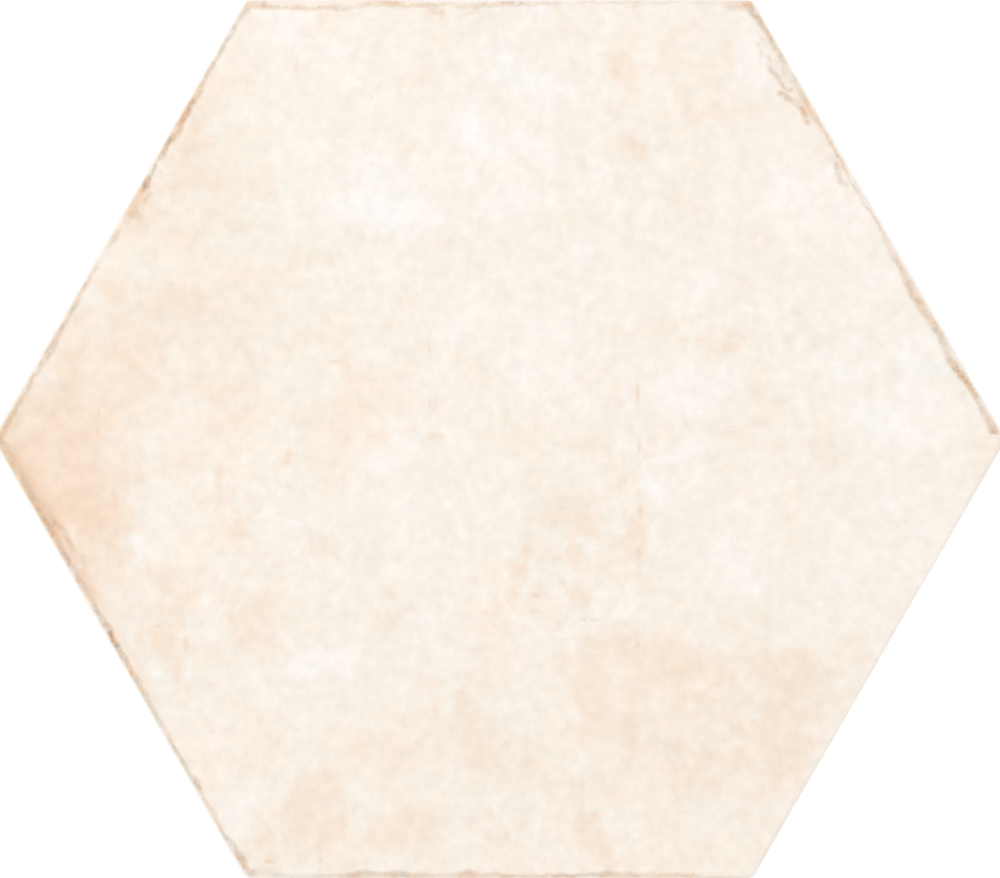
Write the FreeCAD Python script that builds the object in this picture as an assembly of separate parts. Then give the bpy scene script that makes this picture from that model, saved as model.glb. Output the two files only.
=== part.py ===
# Hexagon floor tile of pressed porcelain stoneware, with a worn face edge and a honeycomb keyed back.
# The tile lies face up: +Z is up, X runs from corner to corner, Y runs from flat to flat, and the
# origin is the middle of the back. Lengths are in millimetres.

import FreeCAD, Part
import math
import os

# Outline and section
ACROSS_FLATS = 216.0        # from one joint face to the opposite one
THICKNESS = 9.0             # from the back's rib crests to the walking face
CORNER_RADIUS = 2.5         # rounding of the six corners, seen from above
BACK_EDGE_BEVEL = 0.8       # bevel between the joint faces and the back

# Honeycomb key in the back, which the adhesive grips
KEY_DEPTH = 0.8             # from the rib crests to the floor of a cell
KEY_PITCH = 17.3            # from the middle of one cell to the middle of the next
KEY_RIB_WIDTH = 2.4         # crest of the rib between two cells
KEY_DRAFT_DEG = 30.0        # lean of a cell's walls, which lets the tile leave the punch
KEY_BORDER = 7.5            # least plain border between the cells and the joint faces

# The tile's sides, anticlockwise as its face is seen from above with +Y as north
SIDE_NAMES = ["north_east", "north", "north_west", "south_west", "south", "south_east"]

# The rubbed edge between the face and each joint face. Each station has its place, as a share of the
# side's length from the side's clockwise end, then the reach into the face and the drop down the joint
# face. The rubbed surface runs in flat facets from one station to the next.
RUBBED_EDGE = {
    "north_east": [
        (0.00, 2.1, 0.9),
        (0.05, 2.3, 0.8),
        (0.10, 1.8, 0.7),
        (0.16, 2.8, 0.9),
        (0.20, 2.7, 0.9),
        (0.25, 1.8, 0.7),
        (0.30, 2.2, 0.8),
        (0.35, 2.7, 0.9),
        (0.40, 1.8, 0.7),
        (0.46, 1.0, 0.5),
        (0.53, 0.8, 0.4),
        (0.59, 1.6, 0.5),
        (0.64, 1.8, 0.5),
        (0.70, 1.1, 0.5),
        (0.75, 2.4, 0.7),
        (0.80, 2.4, 0.8),
        (0.86, 2.2, 0.7),
        (0.92, 1.5, 0.7),
        (1.00, 1.8, 0.8),
    ],
    "north": [
        (0.00, 2.2, 0.9),
        (0.05, 1.3, 0.6),
        (0.12, 0.6, 0.4),
        (0.25, 0.5, 0.4),
        (0.38, 0.7, 0.4),
        (0.50, 1.0, 0.5),
        (0.58, 1.5, 0.5),
        (0.64, 1.6, 0.5),
        (0.70, 1.1, 0.5),
        (0.76, 1.4, 0.5),
        (0.82, 2.1, 0.6),
        (0.90, 2.1, 0.6),
        (1.00, 1.6, 0.7),
    ],
    "north_west": [
        (0.00, 1.2, 0.6),
        (0.08, 0.8, 0.4),
        (0.16, 1.0, 0.5),
        (0.22, 1.6, 0.6),
        (0.30, 1.8, 0.6),
        (0.36, 1.1, 0.5),
        (0.41, 1.8, 0.6),
        (0.47, 2.2, 0.7),
        (0.54, 1.8, 0.6),
        (0.60, 0.8, 0.4),
        (0.67, 1.0, 0.4),
        (0.74, 1.1, 0.5),
        (0.80, 1.8, 0.7),
        (0.87, 1.4, 0.5),
        (0.93, 1.5, 0.6),
        (1.00, 1.9, 0.8),
    ],
    "south_west": [
        (0.00, 2.8, 1.0),
        (0.06, 3.4, 1.0),
        (0.13, 3.2, 1.0),
        (0.20, 3.4, 1.0),
        (0.28, 2.6, 0.9),
        (0.36, 3.0, 0.9),
        (0.43, 2.1, 0.8),
        (0.50, 1.6, 0.6),
        (0.57, 1.7, 0.6),
        (0.64, 1.1, 0.5),
        (0.71, 0.8, 0.4),
        (0.79, 1.3, 0.5),
        (0.86, 0.9, 0.4),
        (0.93, 1.3, 0.6),
        (1.00, 2.0, 0.8),
    ],
    "south": [
        (0.00, 2.0, 0.8),
        (0.05, 1.8, 0.7),
        (0.12, 0.8, 0.4),
        (0.19, 1.1, 0.5),
        (0.25, 1.8, 0.7),
        (0.31, 1.6, 0.6),
        (0.38, 0.9, 0.4),
        (0.44, 1.6, 0.6),
        (0.51, 1.2, 0.5),
        (0.57, 0.8, 0.4),
        (0.64, 1.1, 0.5),
        (0.72, 1.6, 0.6),
        (0.80, 0.9, 0.4),
        (0.87, 1.0, 0.5),
        (0.93, 0.5, 0.4),
        (1.00, 0.6, 0.4),
    ],
    "south_east": [
        (0.00, 0.6, 0.4),
        (0.22, 0.8, 0.4),
        (0.42, 0.5, 0.3),
        (0.62, 0.8, 0.4),
        (0.82, 0.5, 0.3),
        (1.00, 0.9, 0.5),
    ],
}

# Shell-shaped flakes knocked off the rubbed edge. Each has its side, the place of its middle as above,
# its length along the joint face, its reach into the face and its depth at the joint face.
FLAKES = [
    ("north_east", 0.030, 6.0, 3.0, 0.9),
    ("north_east", 0.175, 8.0, 3.5, 0.9),
    ("north_east", 0.345, 8.0, 3.4, 0.9),
    ("north_east", 0.615, 8.0, 4.2, 0.6),
    ("north_east", 0.770, 8.0, 3.9, 0.9),
    ("north_east", 0.850, 8.5, 4.9, 1.0),
    ("north_east", 0.960, 6.0, 2.6, 0.9),
    ("north", 0.020, 6.0, 2.9, 0.9),
    ("north", 0.610, 7.0, 3.4, 0.6),
    ("north", 0.750, 6.0, 1.9, 0.5),
    ("north_west", 0.285, 7.0, 2.4, 0.6),
    ("north_west", 0.410, 5.5, 2.4, 0.6),
    ("north_west", 0.480, 6.0, 4.2, 0.8),
    ("north_west", 0.530, 5.0, 2.5, 0.6),
    ("north_west", 0.800, 7.0, 2.5, 0.7),
    ("south_west", 0.050, 9.0, 4.6, 1.1),
    ("south_west", 0.210, 8.0, 4.3, 0.9),
    ("south_west", 0.370, 8.0, 3.8, 0.9),
    ("south_west", 0.445, 6.0, 2.8, 0.8),
    ("south_west", 0.965, 7.0, 2.7, 0.9),
    ("south", 0.035, 6.0, 3.0, 0.9),
    ("south", 0.235, 5.0, 2.4, 0.7),
    ("south", 0.295, 4.5, 2.2, 0.6),
    ("south", 0.440, 4.5, 2.4, 0.7),
    ("south", 0.720, 8.0, 2.1, 0.7),
]

SIDES = len(SIDE_NAMES)
APOTHEM = ACROSS_FLATS / 2
CORNER_TURN_DEG = 360.0 / SIDES
HALF_CORNER_TURN = math.radians(CORNER_TURN_DEG / 2)
QUARTER_TURN_DEG = 90.0
SIDE_LENGTH = ACROSS_FLATS * math.tan(HALF_CORNER_TURN)
CUTTER_OVERSHOOT = 1.0      # how far a cutting shape stands out of the surface that it cuts
UP = FreeCAD.Vector(0, 0, 1)


def polar(radius, angle_deg, z=0.0):
    """The point at this distance and direction from the tile's middle."""
    angle = math.radians(angle_deg)
    return FreeCAD.Vector(radius * math.cos(angle), radius * math.sin(angle), z)


def beside(side, share, radius, z):
    """The point at this share of a side's length, this far from the tile's middle square to the side."""
    direction = CORNER_TURN_DEG * (SIDE_NAMES.index(side) + 0.5)
    along = polar((share - 0.5) * SIDE_LENGTH, direction + QUARTER_TURN_DEG)
    return polar(radius, direction, z) + along


def hexagon(across_flats, first_corner_deg, z):
    """The corners of a sharp hexagon at this height, with the first one again at the end."""
    reach = across_flats / 2 / math.cos(HALF_CORNER_TURN)
    return [polar(reach, first_corner_deg + CORNER_TURN_DEG * n, z) for n in range(SIDES + 1)]


def flat_face(points):
    """The flat face inside these points."""
    return Part.Face(Part.makePolygon(points))


def upright_edges(solid):
    """The edges that run up the solid, from its lowest face to its highest."""
    return [edge for edge in solid.Edges if edge.BoundBox.ZLength > THICKNESS / 2]


def bottom_edges(solid):
    """The edges round the lowest face."""
    return min(solid.Faces, key=lambda face: face.CenterOfMass.z).Edges


def blank():
    """The tile before it is keyed and worn: a thick hexagon with round corners and a bevelled back."""
    prism = flat_face(hexagon(ACROSS_FLATS, 0.0, 0.0)).extrude(UP * THICKNESS)
    rounded = prism.makeFillet(CORNER_RADIUS, upright_edges(prism))
    return rounded.makeChamfer(BACK_EDGE_BEVEL, bottom_edges(rounded))


def key_cell():
    """One cell of the honeycomb, which leans in from its mouth at the rib crests to its floor."""
    mouth = KEY_PITCH - KEY_RIB_WIDTH
    spread = 2 * math.tan(math.radians(KEY_DRAFT_DEG))
    outside = hexagon(mouth + spread * CUTTER_OVERSHOOT, CORNER_TURN_DEG / 2, -CUTTER_OVERSHOOT)
    floor = hexagon(mouth - spread * KEY_DEPTH, CORNER_TURN_DEG / 2, KEY_DEPTH)
    walls = [
        flat_face([outside[n], outside[n + 1], floor[n + 1], floor[n], outside[n]])
        for n in range(SIDES)
    ]
    return Part.makeSolid(Part.makeShell([flat_face(outside), flat_face(floor), *walls]))


def key_places():
    """The middles of the cells, in rings about a plain pad, with their rows along the tile's sides."""
    row_step = KEY_PITCH * math.cos(HALF_CORNER_TURN)
    cell_reach = KEY_PITCH / 2 / math.cos(HALF_CORNER_TURN)
    rings = int((APOTHEM - KEY_BORDER - cell_reach) / row_step)
    east = polar(KEY_PITCH, 0.0)
    north_east = polar(KEY_PITCH, CORNER_TURN_DEG)
    steps = range(-rings, rings + 1)
    return [
        east * a + north_east * b
        for a in steps
        for b in steps
        if abs(a + b) <= rings and (a, b) != (0, 0)
    ]


def key():
    """Every cell of the honeycomb."""
    cell = key_cell()
    return [cell.translated(place) for place in key_places()]


def rubbed_section(side, share, reach, drop):
    """The corners of the triangle that the rubbing takes off here, made larger outside the tile."""
    inner = APOTHEM - reach * (1 + CUTTER_OVERSHOOT / drop)
    outer = APOTHEM + CUTTER_OVERSHOOT
    top = THICKNESS + CUTTER_OVERSHOOT
    bottom = THICKNESS - drop * (1 + CUTTER_OVERSHOOT / reach)
    return [beside(side, share, radius, z) for radius, z in ((inner, top), (outer, bottom), (outer, top))]


def rubbed_edge(side):
    """What the rubbing takes off along one side, carried on past both corners."""
    stations = RUBBED_EDGE[side]
    past_corner = (CORNER_RADIUS + CUTTER_OVERSHOOT) / SIDE_LENGTH
    before = (-past_corner, *stations[0][1:])
    after = (1 + past_corner, *stations[-1][1:])
    sections = [rubbed_section(side, *station) for station in [before, *stations, after]]
    inner, lower, outer = zip(*sections)
    faces = [
        flat_face([*inner, outer[-1], outer[0], inner[0]]),
        flat_face([*lower, outer[-1], outer[0], lower[0]]),
        flat_face([inner[0], lower[0], outer[0], inner[0]]),
        flat_face([inner[-1], lower[-1], outer[-1], inner[-1]]),
    ]
    for n in range(len(sections) - 1):
        faces.append(flat_face([inner[n], inner[n + 1], lower[n], inner[n]]))
        faces.append(flat_face([inner[n + 1], lower[n + 1], lower[n], inner[n + 1]]))
    return Part.makeSolid(Part.makeShell(faces))


def flake(side, share, length, reach, depth):
    """The cap of the ball that knocks a flake of this size off the edge."""
    half = length / 2
    radius_on_face = (half**2 + reach**2) / (2 * reach)
    above_face = (half**2 - depth**2) / (2 * depth)
    ball_radius = math.hypot(radius_on_face, above_face)
    cap_top_deg = math.degrees(math.asin((CUTTER_OVERSHOOT - above_face) / ball_radius))
    middle = beside(side, share, APOTHEM + radius_on_face - reach, THICKNESS + above_face)
    return Part.makeSphere(ball_radius, middle, UP, -QUARTER_TURN_DEG, cap_top_deg)


def tile():
    """The finished tile as one solid."""
    rubbed = blank().cut([rubbed_edge(side) for side in SIDE_NAMES])
    flaked = rubbed.cut([flake(*place) for place in FLAKES])
    return flaked.cut(key()).Solids[0]


def main():
    """Builds the tile and writes it out."""
    os.makedirs("parts", exist_ok=True)
    tile().exportStep(os.path.join("parts", "tile.step"))


main()
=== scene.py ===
import math

import bpy
import numpy as np
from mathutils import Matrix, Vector
from mathutils.bvhtree import BVHTree
from mathutils.geometry import delaunay_2d_cdt


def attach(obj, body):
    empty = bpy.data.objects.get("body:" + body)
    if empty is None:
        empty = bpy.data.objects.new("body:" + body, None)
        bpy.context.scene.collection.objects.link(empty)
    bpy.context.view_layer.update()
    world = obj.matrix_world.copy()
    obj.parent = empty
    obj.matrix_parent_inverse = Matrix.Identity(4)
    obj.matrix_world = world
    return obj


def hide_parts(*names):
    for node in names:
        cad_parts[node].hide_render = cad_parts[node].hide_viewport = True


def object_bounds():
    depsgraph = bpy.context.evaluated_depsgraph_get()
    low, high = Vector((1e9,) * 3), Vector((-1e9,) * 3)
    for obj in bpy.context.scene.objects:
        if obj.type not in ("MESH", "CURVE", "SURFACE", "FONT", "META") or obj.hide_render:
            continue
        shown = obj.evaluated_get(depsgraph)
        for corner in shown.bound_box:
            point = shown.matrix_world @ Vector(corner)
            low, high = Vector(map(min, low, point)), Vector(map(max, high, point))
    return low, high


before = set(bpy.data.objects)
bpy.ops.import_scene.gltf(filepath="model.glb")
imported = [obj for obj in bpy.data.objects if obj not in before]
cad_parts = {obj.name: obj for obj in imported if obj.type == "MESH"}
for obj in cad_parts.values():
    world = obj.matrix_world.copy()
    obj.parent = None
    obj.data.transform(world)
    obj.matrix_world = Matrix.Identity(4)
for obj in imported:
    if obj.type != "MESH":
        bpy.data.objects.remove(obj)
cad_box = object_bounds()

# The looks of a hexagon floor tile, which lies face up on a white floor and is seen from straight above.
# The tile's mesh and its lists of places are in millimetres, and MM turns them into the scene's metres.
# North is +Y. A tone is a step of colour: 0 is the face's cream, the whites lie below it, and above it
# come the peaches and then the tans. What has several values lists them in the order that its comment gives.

MM = 0.001

# The tile, as its solid has it
APOTHEM = float(cad_box[1][1]) / MM         # from the middle to a joint face
FACE_LEVEL = float(cad_box[1][2]) / MM      # height of the walking face
CORNER_RADIUS = 2.5
BACK_EDGE_BEVEL = 0.8
KEY_DEPTH = 0.8
KEY_PITCH = 17.3
KEY_RIB_WIDTH = 2.4
KEY_DRAFT = math.radians(30.0)
KEY_BORDER = 7.5

SIDES = 6
SIXTH_TURN = math.tau / SIDES
TWELFTH_TURN = SIXTH_TURN / 2
SIDE_NAMES = ["north_east", "north", "north_west", "south_west", "south", "south_east"]
SIDE_TURNS = TWELFTH_TURN + SIXTH_TURN * np.arange(SIDES)

# The mesh
SIDE_STEPS = 220                            # along the straight of one side
CORNER_STEPS = 8                            # round one corner
RIM_INSETS = [0, 0.15, 0.3, 0.5, 0.7, 0.95, 1.2, 1.5, 1.8, 2.1, 2.4, 2.75, 3.1, 3.5, 3.9, 4.3, 4.75, 5.2, 6]
WALL_SHARES = [0.04, 0.1, 0.2, 0.34, 0.52, 0.75, 1.0]
FACE_SPACING = 1.4                          # between the points of the face inside the rim
MARK_SPACING = 0.45                         # between the points in and about a mark
MARK_MARGIN = 1.0
BACK_SPACING = 3.0                          # between the points of the back's border
CELL_POINT_REACH = 4.2                      # from a cell's middle to the points of its floor
SMOOTHING_ROUNDS = 2                        # which take out the facets of the solid's worn edge
PROBE_INSET = 0.03                          # keeps a ray off the very edge of the solid
PROBE_HEIGHT = 20.0                         # from where the rays come down
SAME_POINT = 1e-4
SHARP_ANGLE = math.radians(38.0)
LOOK_COLUMNS = 6                            # values that each point holds of the worn line

# Relief that is finer than the solid's own shape: its depth, the length of its waves and its layer of noise
SWELL = (0.05, 42.0, 60)
RIPPLE = (0.02, 6.0, 61)
WAVER = (0.09, 5.0, 62)
WALL_GRAIN = (0.03, 1.4, 63)
CRUMBLE = (0.15, 1.3, 64)
BACK_GRAIN = (0.03, 5.0, 65)
WAVER_REACH = 1.5                           # how far the joint faces' waver reaches into the face
FULL_WEAR = 0.5                             # an edge worn down this far has lost its whole surface
PAINTED_LIP = (0.05, 0.8)                           # insets between which a slanting side's lip ends, which is painted pale: painted light that cancels the shade on its sloping worn edge
FULL_MARK = 2.0                             # tone of a mark that is MARK_DEPTH deep
MARK_DEPTH = 0.12
NOISE_GRID = 128                            # points across a layer of noise, before it repeats
OCTAVE_FADE = 1.6                           # how much weaker each finer noise is

# The worn line along each side, from the side's clockwise end: share of the side's length, inset of the
# line, half its width, its tone, reach and tone of the glow inside it, and how orange both are.
WORN_LINE = {
    "north_east": [
        (0.00, 1.7, 0.9, 4.3, 2.4, 0.9, 0.7),
        (0.03, 1.7, 1.2, 4.3, 2.6, 1.1, 0.8),
        (0.08, 1.5, 0.7, 3.3, 2.4, 0.7, 0.9),
        (0.13, 1.7, 0.8, 4.8, 2.6, 1.1, 0.9),
        (0.16, 2.4, 0.9, 4.6, 3.2, 1.2, 0.9),
        (0.20, 2.2, 0.9, 3.6, 3.0, 0.9, 0.9),
        (0.24, 1.5, 0.7, 2.7, 2.6, 0.9, 0.9),
        (0.29, 1.9, 1.1, 3.7, 3.0, 1.3, 1.0),
        (0.34, 2.3, 1.1, 3.5, 3.2, 1.0, 1.0),
        (0.39, 1.7, 0.7, 3.2, 2.6, 0.9, 0.9),
        (0.43, 1.6, 0.8, 2.6, 2.0, 0.5, 0.6),
        (0.50, 1.3, 0.4, 2.1, 2.0, 0.3, 0.5),
        (0.56, 1.5, 0.4, 2.5, 2.0, 0.5, 0.5),
        (0.60, 1.5, 0.4, 2.1, 3.0, 0.6, 0.5),
        (0.67, 1.2, 0.4, 3.1, 2.0, 0.5, 0.6),
        (0.72, 1.2, 0.4, 2.4, 2.6, 0.9, 0.8),
        (0.76, 1.4, 0.8, 2.5, 4.0, 3.1, 1.0),
        (0.80, 1.1, 0.7, 2.4, 3.4, 1.0, 0.8),
        (0.84, 0.9, 0.7, 1.7, 3.0, 0.4, 0.6),
        (0.88, 1.0, 0.8, 2.7, 2.4, 0.6, 0.6),
        (0.92, 1.2, 0.8, 3.6, 2.4, 0.7, 0.6),
        (0.96, 1.2, 0.8, 3.5, 2.6, 1.0, 0.7),
        (1.00, 1.5, 1.2, 3.6, 3.0, 1.5, 0.8),
    ],
    "north": [
        (0.00, 1.3, 1.9, 2.1, 3.0, 1.4, 1.0),
        (0.03, 1.3, 1.6, 2.0, 3.0, 0.9, 1.0),
        (0.06, 1.0, 0.7, 0.7, 2.0, 0.4, 0.9),
        (0.12, 0.7, 0.4, 0.8, 2.0, 0.2, 0.7),
        (0.38, 0.9, 0.4, 1.1, 2.0, 0.2, 0.7),
        (0.44, 1.0, 0.6, 2.6, 2.0, 0.4, 0.9),
        (0.50, 1.0, 0.6, 3.1, 2.0, 0.4, 0.9),
        (0.55, 1.8, 0.6, 2.2, 2.4, 0.4, 0.9),
        (0.60, 1.0, 0.5, 2.4, 3.0, 0.5, 0.8),
        (0.66, 1.6, 0.5, 2.6, 2.4, 0.4, 0.9),
        (0.72, 1.1, 0.8, 2.7, 2.0, 0.8, 1.0),
        (0.76, 1.0, 0.8, 2.2, 2.0, 0.8, 1.0),
        (0.79, 2.0, 0.6, 1.4, 2.6, 0.4, 0.8),
        (0.86, 2.1, 0.6, 3.6, 2.6, 0.3, 0.7),
        (0.93, 2.1, 0.6, 2.5, 2.6, 0.3, 0.7),
        (0.96, 1.6, 1.0, 3.6, 2.6, 0.8, 0.9),
        (1.00, 1.3, 1.1, 3.3, 2.4, 1.0, 0.8),
    ],
    "north_west": [
        (0.00, 1.3, 0.7, 1.6, 2.0, 0.0, 0.0),
        (0.05, 1.1, 0.7, 3.0, 2.0, 0.0, 0.0),
        (0.12, 1.0, 0.6, 4.4, 2.0, 0.2, 0.0),
        (0.17, 1.0, 0.6, 2.2, 2.2, 0.6, 0.3),
        (0.20, 1.3, 0.8, 4.2, 2.4, 1.2, 0.6),
        (0.26, 1.5, 1.0, 5.0, 2.8, 2.4, 0.7),
        (0.30, 1.5, 0.9, 4.0, 2.8, 1.9, 0.6),
        (0.34, 1.3, 0.8, 5.0, 2.4, 1.5, 0.3),
        (0.36, 1.1, 0.3, 3.5, 2.0, 0.0, 0.0),
        (0.385, 1.3, 0.7, 4.0, 2.0, 0.4, 0.0),
        (0.41, 1.8, 0.9, 6.5, 3.0, 1.6, 0.2),
        (0.44, 1.5, 0.7, 1.1, 4.0, 1.1, 0.6),
        (0.48, 2.0, 1.4, 0.9, 4.6, 1.2, 0.3),
        (0.505, 1.3, 0.3, 0.8, 3.0, 0.6, 0.4),
        (0.53, 1.5, 0.9, 2.6, 2.6, 0.6, 0.4),
        (0.55, 1.3, 0.7, 1.3, 2.4, 0.3, 0.3),
        (0.58, 1.3, 0.3, 0.3, 2.0, 0.1, 0.2),
        (0.62, 1.0, 0.6, 2.3, 2.0, 0.3, 0.1),
        (0.67, 1.1, 0.7, 3.7, 2.2, 0.5, 0.1),
        (0.70, 1.3, 0.6, 2.6, 2.2, 0.5, 0.1),
        (0.74, 1.3, 0.6, 3.2, 2.6, 0.5, 0.2),
        (0.79, 1.8, 1.1, 2.6, 3.0, 0.6, 0.2),
        (0.82, 1.5, 0.8, 3.0, 3.0, 0.7, 0.2),
        (0.86, 1.3, 0.6, 3.1, 3.0, 0.8, 0.2),
        (0.92, 1.5, 0.7, 2.4, 3.0, 0.5, 0.2),
        (0.97, 1.5, 0.7, 3.5, 3.4, 0.9, 0.2),
        (1.00, 1.5, 0.9, 3.7, 4.0, 1.2, 0.2),
    ],
    "south_west": [
        (0.00, 1.7, 1.1, 2.0, 5.2, 1.0, 0.1),
        (0.05, 1.9, 1.2, 2.0, 5.2, 1.4, 0.3),
        (0.10, 1.8, 1.0, 2.0, 5.2, 1.4, 0.3),
        (0.16, 1.4, 0.7, 3.0, 5.2, 1.8, 0.1),
        (0.22, 1.4, 0.7, 3.1, 5.2, 2.3, 0.2),
        (0.28, 1.4, 0.7, 3.8, 5.2, 2.1, 0.1),
        (0.34, 1.4, 0.7, 3.5, 5.2, 2.2, 0.7),
        (0.37, 1.4, 0.7, 3.5, 5.4, 1.9, 0.8),
        (0.40, 1.2, 0.7, 4.0, 5.4, 1.1, 0.6),
        (0.44, 1.4, 1.0, 6.0, 5.4, 1.4, 0.4),
        (0.49, 1.2, 0.7, 5.4, 5.4, 1.4, 0.4),
        (0.55, 1.3, 0.7, 4.5, 5.4, 1.2, 0.7),
        (0.60, 1.2, 0.6, 2.9, 5.4, 0.6, 0.4),
        (0.66, 1.1, 0.6, 2.8, 2.0, 0.4, 0.3),
        (0.72, 1.1, 0.6, 3.1, 2.0, 0.5, 0.3),
        (0.77, 1.1, 0.6, 1.9, 2.0, 0.4, 0.3),
        (0.795, 1.3, 0.7, 4.6, 2.0, 0.7, 0.4),
        (0.82, 1.2, 0.3, 2.8, 2.0, 0.5, 0.4),
        (0.86, 1.3, 0.6, 2.1, 2.4, 0.9, 1.0),
        (0.90, 1.1, 0.6, 2.9, 2.0, 0.4, 0.4),
        (0.93, 1.2, 0.6, 2.4, 2.0, 0.4, 0.4),
        (0.965, 1.7, 1.1, 4.4, 2.4, 0.7, 0.6),
        (1.00, 1.5, 0.8, 3.5, 2.4, 0.6, 0.6),
    ],
    "south": [
        (0.00, 1.4, 1.0, 1.3, 2.4, 0.5, 1.0),
        (0.03, 1.1, 0.6, 1.0, 3.2, 0.4, 1.0),
        (0.07, 0.9, 0.4, 0.5, 2.0, 0.2, 1.0),
        (0.12, 0.8, 0.4, 0.4, 2.0, 0.2, 1.0),
        (0.18, 0.9, 0.4, 1.5, 2.0, 0.6, 1.0),
        (0.23, 1.1, 1.3, 3.4, 2.2, 1.6, 1.0),
        (0.26, 0.9, 0.7, 2.0, 2.0, 1.1, 1.0),
        (0.29, 1.1, 1.1, 2.6, 2.2, 1.2, 1.0),
        (0.32, 1.0, 0.7, 2.6, 2.0, 1.0, 1.0),
        (0.36, 0.9, 0.5, 1.9, 2.0, 0.7, 1.0),
        (0.40, 0.8, 0.5, 0.9, 2.0, 0.3, 1.0),
        (0.44, 1.1, 1.3, 3.0, 2.2, 1.2, 1.0),
        (0.46, 0.9, 0.5, 2.3, 2.0, 0.8, 1.0),
        (0.50, 0.8, 0.5, 3.2, 2.0, 1.0, 1.0),
        (0.54, 0.8, 0.5, 2.0, 2.0, 0.6, 1.0),
        (0.58, 0.8, 0.5, 2.0, 2.0, 0.5, 1.0),
        (0.63, 0.9, 0.5, 3.6, 2.0, 0.8, 1.0),
        (0.67, 0.9, 0.5, 1.7, 2.0, 0.5, 1.0),
        (0.71, 1.0, 0.9, 3.1, 2.0, 1.2, 1.0),
        (0.75, 1.0, 0.7, 2.6, 2.0, 1.1, 1.0),
        (0.80, 0.9, 0.5, 2.2, 2.0, 0.6, 1.0),
        (0.85, 0.9, 0.5, 3.0, 2.0, 0.8, 1.0),
        (0.89, 0.8, 0.5, 3.2, 2.0, 0.6, 1.0),
        (0.91, 0.6, 0.5, 0.3, 2.0, 0.2, 1.0),
        (1.00, 0.6, 0.4, 0.1, 2.0, 0.1, 0.8),
    ],
    "south_east": [
        (0.00, 0.4, 0.3, 0.1, 2.0, 0.0, 0.3),
        (0.24, 0.4, 0.3, 0.1, 2.0, 0.1, 0.3),
        (0.58, 0.8, 0.4, 0.1, 2.0, 0.0, 0.2),
        (0.62, 1.2, 0.6, 0.3, 2.4, 0.0, 0.1),
        (0.66, 0.8, 0.4, 0.1, 2.0, 0.0, 0.2),
        (1.00, 0.4, 0.3, 0.2, 2.0, 0.1, 0.3),
    ],
}

# The rims of the flakes, seen as thin lines: half the line's width, its tone, and the places it leads through
FLAKE_RIMS = [
    (0.7, 3.5, [
        (66.1, 93.9), (66.3, 92.1), (67, 90.3), (68.3, 89.1),
        (69.2, 87.5), (70.3, 86.3), (71.6, 85.9),
    ]),
    (0.78, 4.3, [
        (69, 85.1), (70.6, 84.1), (72.1, 83), (73.3, 82.3),
        (74.6, 81.1), (75.3, 79), (75.8, 77.9),
    ]),
    (0.62, 1.7, [(64.5, 98.6), (65.7, 96.6)]),
    (0.7, 2.6, [(69.8, 91.5), (70.4, 89.6), (71.9, 88.2)]),
    (0.62, 3.4, [(72.3, 89.2), (73.2, 87.6), (73.7, 86.1)]),
    (0.62, 2.2, [(63.6, 97.2), (64.6, 95.6), (64.4, 94.4)]),
    (0.7, 3.2, [(82.4, 68.8), (82.8, 67.6), (83.3, 66.1), (83.5, 64.2), (84, 63), (85.3, 62.7)]),
    (0.78, 2.8, [
        (-110.3, -19.1), (-109.2, -20.9), (-107.4, -22.2),
        (-106.1, -24.6), (-105.3, -25.9), (-104.6, -27.3),
    ]),
    (0.7, 1.7, [(-102.4, -29), (-101.8, -30.8), (-102.6, -32)]),
    (0.7, 3.1, [(-87.1, 58.7), (-85.8, 60)]),
    (1.08, 2.6, [(-91.4, 54.3), (-89.8, 55.9), (-88.6, 54.4)]),
    (0.78, 2.8, [(-19.4, 106.9), (-17.9, 106), (-16, 105.4), (-14.2, 105)]),
    (0.7, 1.7, [(-9.6, 103.8), (-8.3, 104.8), (-6.5, 105.1)]),
    (0.7, 1.6, [(-2.4, 105.7), (-0.3, 106.9), (3.3, 107.8)]),
    (0.7, 1.9, [(23.4, 107.8), (25.1, 107.6)]),
    (0.7, 1.6, [(33.2, 106.4), (34.1, 107.1)]),
    (0.62, 5.2, [(58.7, 106.8), (61.8, 106.7)]),
]

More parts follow.
